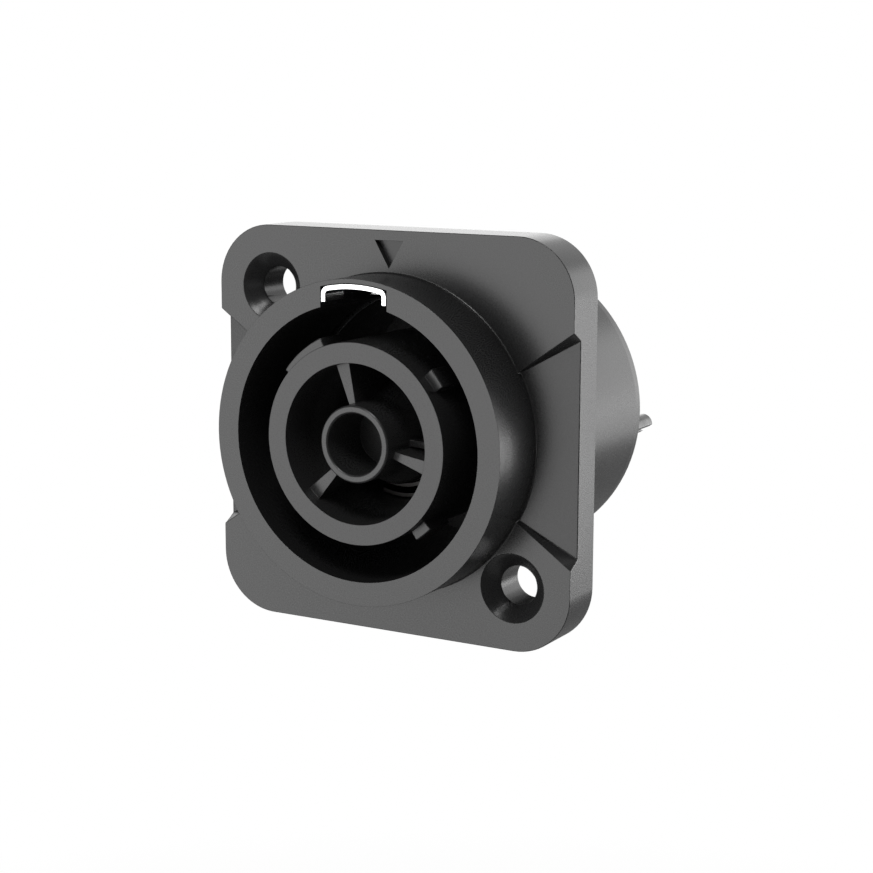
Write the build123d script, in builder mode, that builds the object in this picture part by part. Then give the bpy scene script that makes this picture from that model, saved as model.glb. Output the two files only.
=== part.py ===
from build123d import *
import math
import os

os.makedirs("parts", exist_ok=True)

# Lengths are millimetres. The connector's axis is Y, its front looks along -Y and +Z is up.
# A height h is the distance in front of the panel, so a point of height h has y = -h.
front_view = Plane.XZ
half_section = Plane(origin=(0, 0, 0), x_dir=(1, 0, 0), z_dir=(0, 0, -1))

# Flange
flange_side = 38.0
flange_thickness = 4.75
flange_corner_radius = 5.7
side_panel_step = 1.42
side_panel_tilt = 9.0
step_foot_x = 13.6
step_foot_z = 6.95
step_rim_z = 10.72
step_wall_run = 0.7
screw_inset = 5.9
screw_hole_radius = 1.85
countersink_radius = 3.26
arrow_width = 3.02
arrow_height = 2.58
arrow_gap = 0.95
arrow_depth = 0.65

# Collar and barrel of the housing
collar_height = 6.18
collar_radius = 15.05
collar_bore_radius = 12.79
barrel_length = 19.3
barrel_radius = 15.0
barrel_wall = 1.45
barrel_rear_chamfer = 0.2
lead_in_length = 1.3
lead_in_depth = 0.1

# Latch notch in the collar, the locking slot that turns off it, and the notch's steel plate
notch_width = 6.97
notch_skin = 0.43
lock_slot_depth = 11.1
lock_slot_width = 2.0
lock_slot_end_angle = 152.0
lock_slot_wall = 1.45
plate_thickness = 0.47
plate_clearance = 0.05
plate_corner_radius = 0.8
plate_leg_gap = 0.5
plate_leg_length = 3.1
plate_roof_length = 6.4
plate_lip_height = 1.3
plate_lip_width = 3.6

# Contact carrier
ring_outer_radius = 9.35
ring_inner_radius = 7.42
tube_radius = 3.6
tube_bore_radius = 2.85
tube_bore_depth = 5.6
tube_rim_chamfer = 0.14
tube_core_radius = 2.4
tube_floor = 1.5
web_recess = 1.33
web_turn = -14.4
web_span = 11.0
lug_count = 4
lug_height = 0.98
lug_length = 3.55
lug_turn = 39.7
lug_span = 11.2
wide_lug = 1
wide_lug_span = 29.0
funnel_depth = 3.88
slot_depth = 7.3
slot_inner_radius = 4.9
slot_outer_radius = 6.5
rib_width = 0.62
rib_turn = 12.2
groove_depth = 23.1
carrier_floor = 2.0
carrier_clearance = 0.15
pole_count = 3

# Contacts and their terminals
leaf_thickness = 0.4
leaf_clearance = 0.12
leaf_span = 70.0
leaf_tip_depth = 9.7
earth_lead = 1.2
base_thickness = 0.8
base_end_radius = 1.3
terminal_inset = 1.9
terminal_turn = -60.0
terminal_radius = 1.03
terminal_shank_radius = 0.7
terminal_flange_radius = 1.3
terminal_flange_thickness = 0.8
terminal_reach = 8.94
cup_bore_radius = 0.72
cup_bore_depth = 5.0
cup_cut_length = 4.0
cup_cut_offset = 0.6
cup_turn = -40.0

# Rear insulator
insulator_recess = 1.1
fit_clearance = 0.15
shank_clearance = 0.03
core_depth = 2.3
core_inner_radius = 4.6
core_wall = 2.0
core_span = 66.0
core_fillet = 0.8
snap_height = 0.3
snap_width = 1.2
snap_span = 16.0
snap_depth = 2.3
snap_clearance = 0.1

# Heights in front of the panel
front_h = flange_thickness + collar_height
rear_h = -barrel_length
web_front_h = front_h - web_recess
lug_back_h = web_front_h - lug_length
funnel_top_h = front_h - funnel_depth
slot_top_h = front_h - slot_depth
lock_slot_top_h = front_h - lock_slot_depth
groove_floor_h = front_h - groove_depth
carrier_back_h = groove_floor_h - carrier_floor
base_back_h = carrier_back_h - base_thickness
insulator_back_h = rear_h + insulator_recess
snap_h = rear_h + snap_depth
terminal_end_h = rear_h - terminal_reach

barrel_bore_radius = barrel_radius - barrel_wall
notch_roof_radius = collar_radius - notch_skin
lock_slot_radius = barrel_radius - lock_slot_wall
carrier_radius = barrel_bore_radius - carrier_clearance
terminal_circle_radius = barrel_bore_radius - terminal_inset
core_outer_radius = carrier_radius - core_wall
screw_offset = flange_side / 2 - screw_inset
lug_radius = ring_outer_radius + lug_height
ring_wall_middle = (ring_inner_radius + ring_outer_radius) / 2
tube_wall_middle = (tube_bore_radius + tube_radius) / 2
web_angles = [web_turn + 360 * i / pole_count for i in range(pole_count)]
chamber_angles = [angle + 180 / pole_count for angle in web_angles]
lug_angles = [lug_turn + 360 * i / lug_count for i in range(lug_count)]


def wedge(radius, span, angle):
    """Sketch of a wedge with its tip on the axis, wider than the radius, centred on the angle."""
    with BuildSketch(mode=Mode.PRIVATE) as sketch:
        with BuildLine():
            tip = Line((0, 0), Vector(2 * radius, 0).rotate(Axis.Z, angle - span / 2))
            far = Line(tip @ 1, Vector(2 * radius, 0).rotate(Axis.Z, angle + span / 2))
            Line(far @ 1, (0, 0))
        make_face()
    return sketch.sketch


# Housing: square flange, collar with its latch notch, and barrel behind the panel
step_slope = (step_rim_z - step_foot_z) / (flange_side / 2 - step_foot_x)
with BuildPart() as housing:
    with BuildSketch(front_view):
        RectangleRounded(flange_side, flange_side, flange_corner_radius)
    extrude(amount=flange_thickness)
    # Sunken side panels, which fall away from the collar between sloping walls
    for side in (-1, 1):
        for depth, tilt, wall_run in ((0, 0, 0), (side_panel_step, side_panel_tilt, step_wall_run)):
            edge = front_view.offset(flange_thickness - depth).move(Location((side * flange_side / 2, 0, 0)))
            stretch = 1 / math.cos(math.radians(tilt))
            foot_x = side * (collar_bore_radius - flange_side / 2) * stretch
            far_x = side * flange_side / 2 * stretch
            foot_z = step_foot_z - step_slope * (step_foot_x - collar_bore_radius)
            far_z = step_foot_z + step_slope * (flange_side - step_foot_x)
            far_z -= wall_run * (flange_side - step_foot_x) / (flange_side / 2 - step_foot_x)
            with BuildSketch(edge.rotated((0, 0, side * tilt))):
                with BuildLine():
                    Polyline((foot_x, foot_z), (far_x, far_z), (far_x, -far_z), (foot_x, -foot_z), close=True)
                make_face()
        loft(mode=Mode.SUBTRACT)
    with BuildSketch(front_view):
        Circle(collar_radius)
    extrude(amount=front_h)
    # Barrel, with a slight lead-in for the panel cut-out at its rear end
    with BuildSketch(half_section):
        with BuildLine():
            Polyline(
                (0, 0),
                (barrel_radius, 0),
                (barrel_radius, rear_h + lead_in_length),
                (barrel_radius - lead_in_depth, rear_h),
                (0, rear_h),
                close=True,
            )
        make_face()
    revolve(axis=Axis.Y)
    chamfer(housing.edges().group_by(Axis.Y)[-1], length=barrel_rear_chamfer)
    # Bore, stepped at the shoulder that the contact carrier seats on
    with BuildSketch(half_section):
        with BuildLine():
            Polyline(
                (0, front_h),
                (collar_bore_radius, front_h),
                (collar_bore_radius, groove_floor_h),
                (barrel_bore_radius, groove_floor_h),
                (barrel_bore_radius, rear_h),
                (0, rear_h),
                close=True,
            )
        make_face()
    revolve(axis=Axis.Y, mode=Mode.SUBTRACT)
    # Groove that the rear insulator snaps into
    with BuildSketch(half_section):
        with Locations((barrel_bore_radius, snap_h)):
            Rectangle(2 * (snap_height + snap_clearance), snap_width + 2 * snap_clearance)
    revolve(axis=Axis.Y, mode=Mode.SUBTRACT)
    # Latch notch, open to the bore and covered by the collar's outer skin
    with BuildSketch(front_view.offset(front_h)):
        Circle(notch_roof_radius)
        Rectangle(notch_width, collar_radius, align=(Align.CENTER, Align.MIN), mode=Mode.INTERSECT)
    extrude(amount=-lock_slot_depth - lock_slot_width, mode=Mode.SUBTRACT)
    # Locking slot round the bore, into which the plug turns from the notch
    with BuildSketch(front_view.offset(lock_slot_top_h)):
        add(wedge(lock_slot_radius, lock_slot_end_angle - 90, (lock_slot_end_angle + 90) / 2))
        Circle(lock_slot_radius, mode=Mode.INTERSECT)
    extrude(amount=-lock_slot_width, mode=Mode.SUBTRACT)
    with Locations(front_view.offset(flange_thickness)):
        with Locations((-screw_offset, screw_offset), (screw_offset, -screw_offset)):
            CounterSinkHole(screw_hole_radius, countersink_radius, depth=flange_thickness, counter_sink_angle=90)
    # Orientation arrow above the collar, pointing at the axis
    arrow_top_z = flange_side / 2 - arrow_gap
    with BuildSketch(front_view.offset(flange_thickness)):
        with BuildLine():
            Polyline(
                (-arrow_width / 2, arrow_top_z),
                (arrow_width / 2, arrow_top_z),
                (0, arrow_top_z - arrow_height),
                close=True,
            )
        make_face()
    extrude(amount=-arrow_depth, mode=Mode.SUBTRACT)
housing.part.label = "housing"
export_step(housing.part, "parts/housing.step")

# Latch plate: spring-steel channel that lines the notch, with a lip folded down behind
plate_roof_radius = notch_roof_radius - plate_clearance
plate_width = notch_width - 2 * plate_clearance
plate_leg_foot_z = (collar_bore_radius**2 - (notch_width / 2) ** 2) ** 0.5 + plate_leg_gap
plate_roof_foot_z = ((plate_roof_radius - plate_thickness) ** 2 - (plate_width / 2) ** 2) ** 0.5
with BuildPart() as latch_plate:
    for depth, foot_z in ((plate_leg_length, plate_leg_foot_z), (plate_roof_length, plate_roof_foot_z)):
        with BuildSketch(front_view.offset(front_h)) as strip:
            Circle(plate_roof_radius)
            Rectangle(plate_width, collar_radius, align=(Align.CENTER, Align.MIN), mode=Mode.INTERSECT)
            fillet(strip.vertices().group_by(Axis.Y)[-1], plate_corner_radius)
            offset(amount=-plate_thickness, mode=Mode.SUBTRACT)
            Rectangle(plate_width, foot_z, align=(Align.CENTER, Align.MIN), mode=Mode.SUBTRACT)
        extrude(amount=-depth)
    with BuildSketch(front_view.offset(front_h - plate_roof_length)):
        with Locations((0, plate_roof_radius - plate_thickness / 2)):
            Rectangle(plate_lip_width, plate_lip_height, align=(Align.CENTER, Align.MAX))
    extrude(amount=plate_thickness)
latch_plate.part.label = "latch_plate"
export_step(latch_plate.part, "parts/latch_plate.step")

# Contact carrier: keyed ring, centre tube and webs on the disc that closes the barrel
with BuildPart() as contact_carrier:
    with BuildSketch(half_section):
        with BuildLine():
            Polyline(
                (0, carrier_back_h),
                (carrier_radius, carrier_back_h),
                (carrier_radius, groove_floor_h),
                (ring_outer_radius, groove_floor_h),
                (ring_outer_radius, front_h),
                (0, front_h),
                close=True,
            )
        make_face()
    revolve(axis=Axis.Y)
    # Chambers that narrow through a funnel to the contact slots
    with BuildSketch(half_section):
        with BuildLine():
            Polyline(
                (tube_radius, front_h),
                (tube_radius, funnel_top_h),
                (slot_inner_radius, slot_top_h),
                (slot_inner_radius, carrier_back_h),
                (slot_outer_radius, carrier_back_h),
                (slot_outer_radius, slot_top_h),
                (ring_inner_radius, funnel_top_h),
                (ring_inner_radius, front_h),
                close=True,
            )
        make_face()
    revolve(axis=Axis.Y, mode=Mode.SUBTRACT)
    with BuildSketch(front_view.offset(carrier_back_h)):
        for angle in web_angles:
            add(wedge(ring_outer_radius, web_span, angle))
        Circle(ring_wall_middle, mode=Mode.INTERSECT)
        Circle(tube_wall_middle, mode=Mode.SUBTRACT)
    extrude(amount=web_front_h - carrier_back_h)
    # Low rib beside one web
    with BuildSketch(front_view.offset(carrier_back_h)):
        with Locations(Rotation(0, 0, web_turn + rib_turn)):
            Rectangle(ring_outer_radius, rib_width, align=(Align.MIN, Align.CENTER))
        Circle(ring_wall_middle, mode=Mode.INTERSECT)
        Circle(tube_wall_middle, mode=Mode.SUBTRACT)
    extrude(amount=funnel_top_h - carrier_back_h)
    # Keys on the ring, one of them wide
    with BuildSketch(front_view.offset(lug_back_h)):
        for i, angle in enumerate(lug_angles):
            add(wedge(lug_radius, wide_lug_span if i == wide_lug else lug_span, angle))
        Circle(lug_radius, mode=Mode.INTERSECT)
        Circle(ring_wall_middle, mode=Mode.SUBTRACT)
    extrude(amount=lug_length)
    # Blind bore of the tube and the coring behind its floor
    with BuildSketch(front_view.offset(front_h)):
        Circle(tube_bore_radius)
    extrude(amount=-tube_bore_depth, mode=Mode.SUBTRACT)
    with BuildSketch(front_view.offset(carrier_back_h)):
        Circle(tube_core_radius)
    extrude(amount=front_h - tube_bore_depth - tube_floor - carrier_back_h, mode=Mode.SUBTRACT)
    rim_edges = contact_carrier.edges().filter_by(GeomType.CIRCLE).group_by(Axis.Y)[0]
    chamfer([e for e in rim_edges if e.radius < ring_inner_radius], length=tube_rim_chamfer)
contact_carrier.part.label = "contact_carrier"
export_step(contact_carrier.part, "parts/contact_carrier.step")


def base_outline(angle, margin):
    """Sketch of a contact's base, from its slot to its terminal, grown by the margin."""
    slot_middle = (slot_inner_radius + slot_outer_radius) / 2
    slot_half = (slot_outer_radius - slot_inner_radius) / 2 - leaf_clearance
    arm_start = Vector(slot_middle, 0).rotate(Axis.Z, angle - leaf_span / 3)
    with BuildSketch(mode=Mode.PRIVATE) as arm:
        with Locations(arm_start):
            Circle(slot_half + margin)
        with Locations(Vector(terminal_circle_radius, 0).rotate(Axis.Z, angle + terminal_turn)):
            Circle(base_end_radius + margin)
        make_hull()
    with BuildSketch(mode=Mode.PRIVATE) as sketch:
        add(wedge(slot_outer_radius, leaf_span, angle))
        Circle(slot_middle + slot_half + margin, mode=Mode.INTERSECT)
        Circle(slot_middle - slot_half - margin, mode=Mode.SUBTRACT)
        add(arm.sketch)
    return sketch.sketch


# Contacts: a pair of curved leaves on a flat base, and a turned terminal riveted to it
for name, angle, lead in zip(("line", "neutral", "earth"), chamber_angles, (0, 0, earth_lead)):
    terminal_place = Vector(terminal_circle_radius, 0).rotate(Axis.Z, angle + terminal_turn)
    leaf_tip_h = front_h - leaf_tip_depth + lead
    with BuildPart() as contact:
        with BuildSketch(front_view.offset(base_back_h)):
            add(base_outline(angle, 0))
            with Locations(terminal_place):
                Circle(terminal_shank_radius + shank_clearance, mode=Mode.SUBTRACT)
        extrude(amount=base_thickness)
        with BuildSketch(front_view.offset(base_back_h)):
            add(wedge(slot_outer_radius, leaf_span, angle))
            Circle(slot_outer_radius - leaf_clearance, mode=Mode.INTERSECT)
            Circle(slot_outer_radius - leaf_clearance - leaf_thickness, mode=Mode.SUBTRACT)
        extrude(amount=leaf_tip_h - base_back_h)
        with BuildSketch(front_view.offset(base_back_h)):
            add(wedge(slot_outer_radius, leaf_span, angle))
            Circle(slot_inner_radius + leaf_clearance + leaf_thickness, mode=Mode.INTERSECT)
            Circle(slot_inner_radius + leaf_clearance, mode=Mode.SUBTRACT)
        extrude(amount=leaf_tip_h - base_back_h)
    contact.part.label = name + "_contact"
    export_step(contact.part, "parts/" + contact.part.label + ".step")

    with BuildPart() as terminal:
        for radius, from_h, to_h in (
            (terminal_shank_radius, carrier_back_h, base_back_h),
            (terminal_flange_radius, base_back_h, base_back_h - terminal_flange_thickness),
            (terminal_radius, base_back_h, terminal_end_h),
        ):
            with BuildSketch(front_view.offset(from_h)):
                with Locations(terminal_place):
                    Circle(radius)
            extrude(amount=to_h - from_h)
        # Solder cup at the rear end, cut open on its outer side
        with BuildSketch(front_view.offset(terminal_end_h)):
            with Locations(terminal_place):
                Circle(cup_bore_radius)
        extrude(amount=cup_bore_depth, mode=Mode.SUBTRACT)
        with BuildSketch(front_view.offset(terminal_end_h)):
            cut_angle = angle + terminal_turn + cup_turn
            cut_place = terminal_place + Vector(cup_cut_offset, 0).rotate(Axis.Z, cut_angle)
            with Locations(Location(cut_place, (0, 0, cut_angle))):
                Rectangle(terminal_radius, 3 * terminal_radius, align=(Align.MIN, Align.CENTER))
        extrude(amount=cup_cut_length, mode=Mode.SUBTRACT)
    terminal.part.label = name + "_terminal"
    export_step(terminal.part, "parts/" + terminal.part.label + ".step")

# Rear insulator: clamps the bases against the carrier, guides the terminals and snaps into the barrel
with BuildPart() as rear_insulator:
    with BuildSketch(front_view.offset(carrier_back_h)):
        Circle(carrier_radius)
    extrude(amount=insulator_back_h - carrier_back_h)
    with BuildSketch(front_view.offset(snap_h - snap_width / 2)):
        for angle in chamber_angles:
            add(wedge(carrier_radius, snap_span, angle))
        Circle(barrel_bore_radius + snap_height, mode=Mode.INTERSECT)
        Circle(carrier_radius - snap_height, mode=Mode.SUBTRACT)
    extrude(amount=snap_width)
    for angle in chamber_angles:
        terminal_place = Vector(terminal_circle_radius, 0).rotate(Axis.Z, angle + terminal_turn)
        with BuildSketch(front_view.offset(carrier_back_h)):
            add(base_outline(angle, fit_clearance))
        extrude(amount=-base_thickness, mode=Mode.SUBTRACT)
        with BuildSketch(front_view.offset(base_back_h)):
            with Locations(terminal_place):
                Circle(terminal_flange_radius + fit_clearance)
        extrude(amount=-terminal_flange_thickness, mode=Mode.SUBTRACT)
        with BuildSketch(front_view.offset(base_back_h)):
            with Locations(terminal_place):
                Circle(terminal_radius + fit_clearance)
        extrude(amount=insulator_back_h - base_back_h, mode=Mode.SUBTRACT)
        # Coring between the terminals
        with BuildSketch(front_view.offset(insulator_back_h)) as core:
            add(wedge(core_outer_radius, core_span, angle))
            Circle(core_outer_radius, mode=Mode.INTERSECT)
            Circle(core_inner_radius, mode=Mode.SUBTRACT)
            fillet(core.vertices(), core_fillet)
        extrude(amount=core_depth, mode=Mode.SUBTRACT)
rear_insulator.part.label = "rear_insulator"
export_step(rear_insulator.part, "parts/rear_insulator.step")
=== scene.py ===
from math import radians

import bmesh
import bpy
from mathutils import Matrix, Vector


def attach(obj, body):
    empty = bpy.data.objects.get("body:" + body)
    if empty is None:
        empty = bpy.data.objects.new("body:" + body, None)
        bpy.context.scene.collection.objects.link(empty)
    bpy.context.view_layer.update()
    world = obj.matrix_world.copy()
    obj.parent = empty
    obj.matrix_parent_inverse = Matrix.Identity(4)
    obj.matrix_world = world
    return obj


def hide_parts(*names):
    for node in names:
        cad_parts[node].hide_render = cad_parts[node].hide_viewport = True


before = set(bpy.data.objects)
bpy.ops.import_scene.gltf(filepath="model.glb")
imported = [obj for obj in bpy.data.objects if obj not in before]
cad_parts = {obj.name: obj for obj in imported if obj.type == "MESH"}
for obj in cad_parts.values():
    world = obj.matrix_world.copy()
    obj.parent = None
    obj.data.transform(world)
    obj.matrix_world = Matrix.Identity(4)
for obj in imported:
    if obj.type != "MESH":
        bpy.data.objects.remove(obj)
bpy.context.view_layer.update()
mm = 0.001
print("frame loaded")


# Camera, worked out from the square flange and the round rims as the photograph shows them

cameraView = {  # place, lens, sensor and reach in mm
    "place": (92.55, -157.35, 32.38),
    "forward": (-0.4891, 0.8536, -0.1796),
    "up": (-0.0924, 0.1541, 0.9837),
    "lens": 80.12,
    "sensor": 36,
    "reach": (5, 20000),
}


def makeCamera(view):
    data = bpy.data.cameras.new("photoCamera")
    camera = bpy.data.objects.new("photoCamera", data)
    bpy.context.scene.collection.objects.link(camera)
    back = -Vector(view["forward"]).normalized()
    right = Vector(view["up"]).cross(back).normalized()
    turn = Matrix((right, back.cross(right), back)).transposed().to_4x4()
    camera.matrix_world = Matrix.Translation(Vector(view["place"]) * mm) @ turn
    data.lens = view["lens"]
    data.sensor_width = view["sensor"]
    data.clip_start, data.clip_end = [end * mm for end in view["reach"]]
    bpy.context.scene.camera = camera


makeCamera(cameraView)
print("camera placed")


# Mesh and node helpers

noiseSpan = (0.3, 0.7)  # nearly all values of a noise lie between these
plainWhite = (1, 1, 1, 1)


def keepMesh(name, bm):
    mesh = bpy.data.meshes.new(name)
    bm.to_mesh(mesh)
    bm.free()
    piece = bpy.data.objects.new(name, mesh)
    bpy.context.scene.collection.objects.link(piece)
    return piece


def newTree(owner):  # an empty tree in a material or a world
    owner.use_nodes = True
    owner.node_tree.nodes.clear()
    return owner.node_tree


def addNode(tree, kind, **values):
    node = tree.nodes.new(kind)
    for name, value in values.items():
        setattr(node, name, value)
    return node


def mathNode(tree, operation, first, second):
    node = addNode(tree, "ShaderNodeMath", operation=operation)
    for socket, value in zip(node.inputs, (first, second)):
        if isinstance(value, (int, float)):
            socket.default_value = value
        else:
            tree.links.new(value, socket)
    return node.outputs[0]


def ranged(tree, source, low, high, span=noiseSpan):  # low at the start of the span, high at its end
    spread = addNode(tree, "ShaderNodeMapRange")
    spread.inputs["From Min"].default_value = span[0]
    spread.inputs["From Max"].default_value = span[1]
    spread.inputs["To Min"].default_value = low
    spread.inputs["To Max"].default_value = high
    tree.links.new(source, spread.inputs["Value"])
    return spread.outputs["Result"]


def switched(tree, source, off, on):  # off where the source is 0, on where it is 1
    return ranged(tree, source, off, on, (0, 1))


def blended(tree, source, low, high):
    ramp = addNode(tree, "ShaderNodeValToRGB")
    for stop, position, tone in zip(ramp.color_ramp.elements, noiseSpan, (low, high)):
        stop.position = position
        stop.color = (*tone, 1)
    tree.links.new(source, ramp.inputs["Fac"])
    return ramp.outputs["Color"]


def raised(tree, source, depth, strength):
    bump = addNode(tree, "ShaderNodeBump")
    bump.inputs["Strength"].default_value = strength
    bump.inputs["Distance"].default_value = depth * mm
    tree.links.new(source, bump.inputs["Height"])
    return bump.outputs["Normal"]


def insideBox(tree, box):  # 1 within the box, whose sides are in mm
    place = addNode(tree, "ShaderNodeTexCoord")
    split = addNode(tree, "ShaderNodeSeparateXYZ")
    tree.links.new(place.outputs["Object"], split.inputs[0])
    inside = 1
    for axis, (low, high) in box.items():
        over = mathNode(tree, "GREATER_THAN", split.outputs[axis], low * mm)
        under = mathNode(tree, "LESS_THAN", split.outputs[axis], high * mm)
        inside = mathNode(tree, "MULTIPLY", inside, mathNode(tree, "MULTIPLY", over, under))
    return inside


def seenRays(tree):  # 1 on camera rays, and 1 on mirror and see-through rays
    path = addNode(tree, "ShaderNodeLightPath")
    mirror = mathNode(tree, "MAXIMUM", path.outputs["Is Glossy Ray"], path.outputs["Is Transmission Ray"])
    return path.outputs["Is Camera Ray"], mirror


def surfaceOf(tree, shader, kind="ShaderNodeOutputMaterial"):
    out = addNode(tree, kind)
    tree.links.new(shader.outputs[0], out.inputs["Surface"])


def mixedShader(tree, share, first, second):  # the second shader in the given share
    mix = addNode(tree, "ShaderNodeMixShader")
    for socket, source in zip(mix.inputs, (share, first.outputs[0], second.outputs[0])):
        tree.links.new(source, socket)
    return mix


# Studio: a white backdrop behind, a dim room in front, and five soft boxes. Lengths are in mm

studio = {
    "roomLight": 0.3,
    "darkSide": 0.1,
    "backdropStart": (0.1, 0.5),  # Y of a ray's direction where the dark side ends and white starts
    "lamps": {
        "frontLeftBox": {"place": (-208, -398, -30), "width": 520, "height": 380, "watts": 1.82},
        "rightBox": {"place": (376, 217, -116), "width": 380, "height": 220, "watts": 2.3},
        "backRightBox": {"place": (190, 408, 0), "width": 230, "height": 340, "watts": 0.32},
        "backLeftBox": {"place": (-225, 390, 90), "width": 230, "height": 230, "watts": 0.17},
        "topBox": {"place": (60, -260, 370), "width": 160, "height": 160, "watts": 0.75},
    },
    "floorHeight": -130,
    "floorWidth": 6000,
    "floorFront": -60,
    "nearLift": 0.86,  # share of white that the camera sees near the connector
    "pictureReach": (160, 260),  # where the floor turns white to the camera
    "mirrorReach": (400, 1500),  # where it turns white to mirror rays
    "floorTones": (0.75, 0.42),  # plain, and to mirror rays
}


def makeWorld():  # matt faces get the room's light, and mirror rays see its dark side or the backdrop
    world = bpy.data.worlds.new("paleRoom")
    tree = newTree(world)
    room = addNode(tree, "ShaderNodeBackground")
    backdrop = addNode(tree, "ShaderNodeBackground")
    for light in (room, backdrop):
        light.inputs["Color"].default_value = plainWhite
        light.inputs["Strength"].default_value = 1
    place = addNode(tree, "ShaderNodeTexCoord")
    split = addNode(tree, "ShaderNodeSeparateXYZ")
    tree.links.new(place.outputs["Generated"], split.inputs[0])
    behind = ranged(tree, split.outputs["Y"], 0, 1, studio["backdropStart"])
    camera, mirror = seenRays(tree)
    dim = switched(tree, mirror, studio["roomLight"], studio["darkSide"])
    tree.links.new(dim, room.inputs["Strength"])
    seen = mathNode(tree, "MAXIMUM", camera, mathNode(tree, "MULTIPLY", mirror, behind))
    surfaceOf(tree, mixedShader(tree, seen, room, backdrop), "ShaderNodeOutputWorld")
    bpy.context.scene.world = world


def makeLamp(name, lamp):  # a soft box that faces the connector
    data = bpy.data.lights.new(name, "AREA")
    data.energy = lamp["watts"]
    data.shape = "RECTANGLE"
    data.size = lamp["width"] * mm
    data.size_y = lamp["height"] * mm
    light = bpy.data.objects.new(name, data)
    light.location = Vector(lamp["place"]) * mm
    light.rotation_euler = (-light.location).to_track_quat("-Z", "Y").to_euler()
    light.visible_camera = False
    bpy.context.scene.collection.objects.link(light)


def makeFloor():  # pale, and lifted to white away from the connector
    bm = bmesh.new()
    half = studio["floorWidth"] * mm / 2
    middle = Vector((0, half + studio["floorFront"] * mm, studio["floorHeight"] * mm))
    bmesh.ops.create_grid(bm, x_segments=1, y_segments=1, size=half)
    bmesh.ops.translate(bm, verts=bm.verts, vec=middle)
    floor = keepMesh("studioFloor", bm)
    material = bpy.data.materials.new("paleFloor")
    tree = newTree(material)
    matt = addNode(tree, "ShaderNodeBsdfDiffuse")
    lit = addNode(tree, "ShaderNodeEmission")
    lit.inputs["Color"].default_value = plainWhite
    place = addNode(tree, "ShaderNodeTexCoord")
    reach = addNode(tree, "ShaderNodeVectorMath", operation="LENGTH")
    tree.links.new(place.outputs["Object"], reach.inputs[0])
    camera, mirror = seenRays(tree)
    tree.links.new(switched(tree, mirror, *studio["floorTones"]), matt.inputs["Color"])
    views = ((camera, studio["nearLift"], studio["pictureReach"]), (mirror, 0, studio["mirrorReach"]))
    shares = []
    for rays, nearShare, span in views:
        lift = ranged(tree, reach.outputs["Value"], nearShare, 1, [end * mm for end in span])
        shares.append(mathNode(tree, "MULTIPLY", rays, lift))
    surfaceOf(tree, mixedShader(tree, mathNode(tree, "MAXIMUM", *shares), matt, lit))
    floor.data.materials.append(material)


makeWorld()
for name, lamp in studio["lamps"].items():
    makeLamp(name, lamp)
makeFloor()
print("studio ready")


# Every moulded or stamped piece gets broken edges and an even shading

edgeDefaults = {  # for all pieces, with lengths in mm and angles in degrees
    "merge": 0.0005,
    "flatAngle": 0.3,
    "sharpAngle": 28,
    "shortest": 0.02,
    "edge": 0.07,
    "edgeSteps": 2,
    "smoothAngle": 50,
    "zones": (),
}


# The number of the first zone that holds an edge's middle, by its radius from the axis,
# its height in front of the panel and its distance across from the middle, all in mm
def edgeZone(edge, zones):
    middle = (edge.verts[0].co + edge.verts[1].co) / 2 / mm
    place = {"radius": Vector((middle.x, middle.z)).length, "height": -middle.y, "across": abs(middle.x)}
    for number, zone in enumerate(zones):
        if all(zone[side][0] < place[side] < zone[side][1] for side in place if side in zone):
            return number


# The node's own form, with its flats made whole and its sharp edges broken
def finishedCopy(node, look, material):
    bm = bmesh.new()
    bm.from_mesh(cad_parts[node].data)
    bmesh.ops.remove_doubles(bm, verts=bm.verts, dist=look["merge"] * mm)
    bmesh.ops.dissolve_limit(bm, angle_limit=radians(look["flatAngle"]), verts=bm.verts, edges=bm.edges)
    zones = (*look["zones"], {"edge": look["edge"]})  # the last one holds all other edges
    for number, zone in enumerate(zones):
        sharp = [edge for edge in bm.edges
                 if len(edge.link_faces) == 2 and edgeZone(edge, zones) == number
                 and edge.calc_face_angle() > radians(zone.get("sharpAngle", look["sharpAngle"]))
                 and edge.calc_length() > look["shortest"] * mm]
        bmesh.ops.bevel(bm, geom=sharp, offset=zone["edge"] * mm, offset_type="OFFSET",
                        segments=look["edgeSteps"], profile=0.5, affect="EDGES", material=-1,
                        clamp_overlap=False)
    piece = keepMesh(node + "Finished", bm)
    piece.data.materials.append(material)
    piece.data.shade_smooth()
    piece.data.set_sharp_from_angle(angle=radians(look["smoothAngle"]))
    even = piece.modifiers.new("evenShading", "WEIGHTED_NORMAL")
    even.keep_sharp = True
    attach(piece, "root")
    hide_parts(node)
    print(node, "finished with", len(piece.data.polygons), "faces")


# Moulded pieces: black plastic with a fine grain

skinNoise = {"grainDetail": 3, "grainRoughness": 0.62, "driftDetail": 2}


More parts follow.
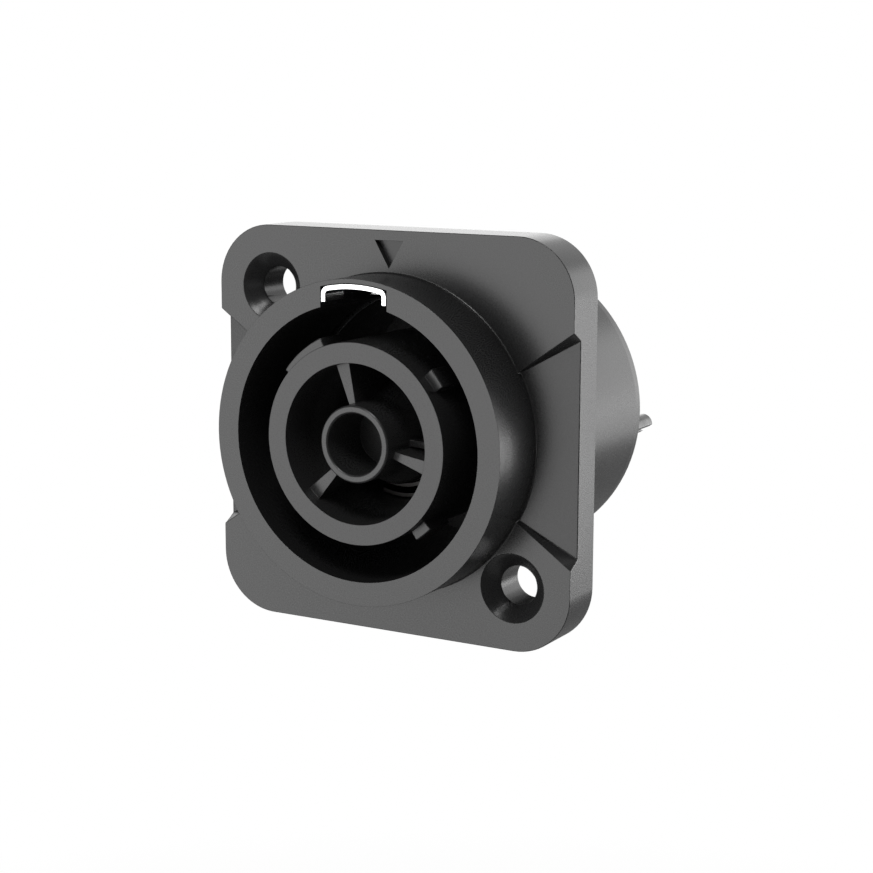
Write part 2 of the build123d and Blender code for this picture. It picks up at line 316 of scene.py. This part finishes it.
def mouldedSkin():  # fine grain of a moulded face, and the slow drift of its tone
    group = bpy.data.node_groups.new("mouldedSkin", "ShaderNodeTree")
    face = group.interface
    face.new_socket("Grain Scale", in_out="INPUT", socket_type="NodeSocketFloat")
    face.new_socket("Drift Scale", in_out="INPUT", socket_type="NodeSocketFloat")
    face.new_socket("Grain", in_out="OUTPUT", socket_type="NodeSocketFloat")
    face.new_socket("Drift", in_out="OUTPUT", socket_type="NodeSocketFloat")
    into = addNode(group, "NodeGroupInput")
    out = addNode(group, "NodeGroupOutput")
    place = addNode(group, "ShaderNodeTexCoord")
    grain = addNode(group, "ShaderNodeTexNoise")
    grain.inputs["Detail"].default_value = skinNoise["grainDetail"]
    grain.inputs["Roughness"].default_value = skinNoise["grainRoughness"]
    drift = addNode(group, "ShaderNodeTexNoise")
    drift.inputs["Detail"].default_value = skinNoise["driftDetail"]
    for noise, scale in ((grain, "Grain Scale"), (drift, "Drift Scale")):
        group.links.new(place.outputs["Object"], noise.inputs["Vector"])
        group.links.new(into.outputs[scale], noise.inputs["Scale"])
    group.links.new(grain.outputs["Fac"], out.inputs["Grain"])
    group.links.new(drift.outputs["Fac"], out.inputs["Drift"])
    return group


moulded = mouldedSkin()


def plasticMaterial(name, look):
    material = bpy.data.materials.new(name)
    tree = newTree(material)
    skin = addNode(tree, "ShaderNodeGroup", node_tree=moulded)
    skin.inputs["Grain Scale"].default_value = look["grainScale"]
    skin.inputs["Drift Scale"].default_value = look["driftScale"]
    body = addNode(tree, "ShaderNodeBsdfPrincipled")
    body.inputs["IOR"].default_value = look["ior"]
    tone = blended(tree, skin.outputs["Drift"], look["darkTone"], look["lightTone"])
    rough = ranged(tree, skin.outputs["Grain"], *look["roughness"])
    if "arrowBox" in look:
        extra = mathNode(tree, "MULTIPLY", insideBox(tree, look["arrowBox"]), look["arrowRoughness"])
        rough = mathNode(tree, "ADD", rough, extra)
    tree.links.new(tone, body.inputs["Base Color"])
    tree.links.new(rough, body.inputs["Roughness"])
    tree.links.new(raised(tree, skin.outputs["Grain"], look["grainDepth"], look["grainStrength"]),
                   body.inputs["Normal"])
    surfaceOf(tree, body)
    return material


plasticDefaults = {  # for all moulded pieces, with the scales in cells to the metre
    **edgeDefaults,
    "grainScale": 9000,
    "driftScale": 70,
    "grainDepth": 0.004,
    "grainStrength": 0.05,
    "roughness": (0.3, 0.26),
}

housingLook = {
    **plasticDefaults,
    "slot": "housing_plastic",
    "zones": (
        {"radius": (12, 15.3), "height": (10.8, 11), "edge": 0.03},  # rim of the collar
        {"radius": (14.9, 15.2), "height": (3.2, 4.9), "edge": 0.15},  # foot of the collar
        {"radius": (18.9, 19.1), "height": (3.2, 3.5), "edge": 0.16},  # outer edge of a side panel
        {"radius": (15.3, 18.6), "height": (4, 5), "across": (-1, 2), "edge": 0.025},  # arrow
        {"radius": (14.9, 15.1), "height": (-18.1, -17.9), "edge": 0.06, "sharpAngle": 3},  # lead-in
    ),
    "darkTone": (0.0135, 0.0135, 0.0137),
    "lightTone": (0.0155, 0.0155, 0.0157),
    "ior": 1.5,
    "arrowBox": {"X": (-1.9, 1.9), "Y": (-4.6, -4), "Z": (15.5, 18.6)},
    "arrowRoughness": 0.1,
}

finishedCopy("housing", housingLook, plasticMaterial("housingPlastic", housingLook))


carrierLook = {
    **plasticDefaults,
    "slot": "carrier_plastic",
    "edge": 0.06,
    "zones": ({"radius": (9.4, 10.6), "height": (5, 9.7), "edge": 0.16},),  # keys
    "darkTone": (0.02, 0.02, 0.0202),
    "lightTone": (0.023, 0.023, 0.0232),
    "ior": 1.47,
}

finishedCopy("contact_carrier", carrierLook, plasticMaterial("carrierPlastic", carrierLook))


insulatorLook = {
    **carrierLook,
    "zones": (),
    "darkTone": (0.01, 0.01, 0.0102),
    "lightTone": (0.012, 0.012, 0.0122),
}

finishedCopy("rear_insulator", insulatorLook, plasticMaterial("insulatorPlastic", insulatorLook))


# Metal pieces: a bright steel latch plate, plated contacts coloured near black as painted shade, and
# turned terminals

metalNoise = {"streakDetail": 4, "cloudDetail": 2, "cloudScale": 900}


def workedMetal():  # streaks drawn out one way by rolling or turning
    group = bpy.data.node_groups.new("workedMetal", "ShaderNodeTree")
    face = group.interface
    face.new_socket("Stretch", in_out="INPUT", socket_type="NodeSocketVector")
    face.new_socket("Streaks", in_out="OUTPUT", socket_type="NodeSocketFloat")
    face.new_socket("Cloud", in_out="OUTPUT", socket_type="NodeSocketFloat")
    into = addNode(group, "NodeGroupInput")
    out = addNode(group, "NodeGroupOutput")
    place = addNode(group, "ShaderNodeTexCoord")
    turn = addNode(group, "ShaderNodeMapping")
    streaks = addNode(group, "ShaderNodeTexNoise")
    streaks.inputs["Scale"].default_value = 1  # the stretch alone sets their size
    streaks.inputs["Detail"].default_value = metalNoise["streakDetail"]
    cloud = addNode(group, "ShaderNodeTexNoise")
    cloud.inputs["Scale"].default_value = metalNoise["cloudScale"]
    cloud.inputs["Detail"].default_value = metalNoise["cloudDetail"]
    group.links.new(place.outputs["Object"], turn.inputs["Vector"])
    group.links.new(into.outputs["Stretch"], turn.inputs["Scale"])
    group.links.new(turn.outputs["Vector"], streaks.inputs["Vector"])
    group.links.new(place.outputs["Object"], cloud.inputs["Vector"])
    group.links.new(streaks.outputs["Fac"], out.inputs["Streaks"])
    group.links.new(cloud.outputs["Fac"], out.inputs["Cloud"])
    return group


worked = workedMetal()


def metalMaterial(name, look):
    material = bpy.data.materials.new(name)
    tree = newTree(material)
    metal = addNode(tree, "ShaderNodeGroup", node_tree=worked)
    metal.inputs["Stretch"].default_value = look["stretch"]
    body = addNode(tree, "ShaderNodeBsdfPrincipled")
    body.inputs["Metallic"].default_value = 1
    tone = blended(tree, metal.outputs["Cloud"], look["darkTone"], look["lightTone"])
    tree.links.new(tone, body.inputs["Base Color"])
    tree.links.new(ranged(tree, metal.outputs["Streaks"], *look["roughness"]), body.inputs["Roughness"])
    tree.links.new(raised(tree, metal.outputs["Streaks"], look["streakDepth"], look["streakStrength"]),
                   body.inputs["Normal"])
    surfaceOf(tree, body)
    return material


latchLook = {
    **edgeDefaults,
    "slot": "latch_steel",
    "edge": 0.05,
    "stretch": (2500, 2500, 400),  # streaks run along Z
    "darkTone": (0.9, 0.9, 0.9),
    "lightTone": (0.95, 0.95, 0.95),
    "roughness": (0.18, 0.24),
    "streakDepth": 0.0005,
    "streakStrength": 0.06,
}

finishedCopy("latch_plate", latchLook, metalMaterial("latchSteel", latchLook))


shadedContactLook = {
    **edgeDefaults,
    "slot": "contact_plating",
    "edge": 0.05,
    "stretch": (1500, 300, 1500),  # streaks run along the leaves
    # painted shade: the plated contacts are coloured near black to stand in for the deep shade of the
    # slots they sit in
    "darkTone": (0.025, 0.024, 0.023),
    "lightTone": (0.036, 0.035, 0.034),
    "roughness": (0.32, 0.42),
    "streakDepth": 0.002,
    "streakStrength": 0.2,
}

terminalLook = {
    **shadedContactLook,
    "slot": "terminal_plating",
    "edge": 0.04,
    "stretch": (700, 4000, 700),  # fine rings round the tail
    "darkTone": (0.09, 0.09, 0.09),
    "lightTone": (0.125, 0.125, 0.125),
    "roughness": (0.24, 0.32),
}

shadedContactMetal = metalMaterial("contactPlatingPaintedShade", shadedContactLook)
terminalMetal = metalMaterial("terminalPlating", terminalLook)
for pole in ("line", "neutral", "earth"):
    finishedCopy(pole + "_contact", shadedContactLook, shadedContactMetal)
    finishedCopy(pole + "_terminal", terminalLook, terminalMetal)
print("pieces finished")

bpy.context.scene.view_settings.view_transform = "Standard"
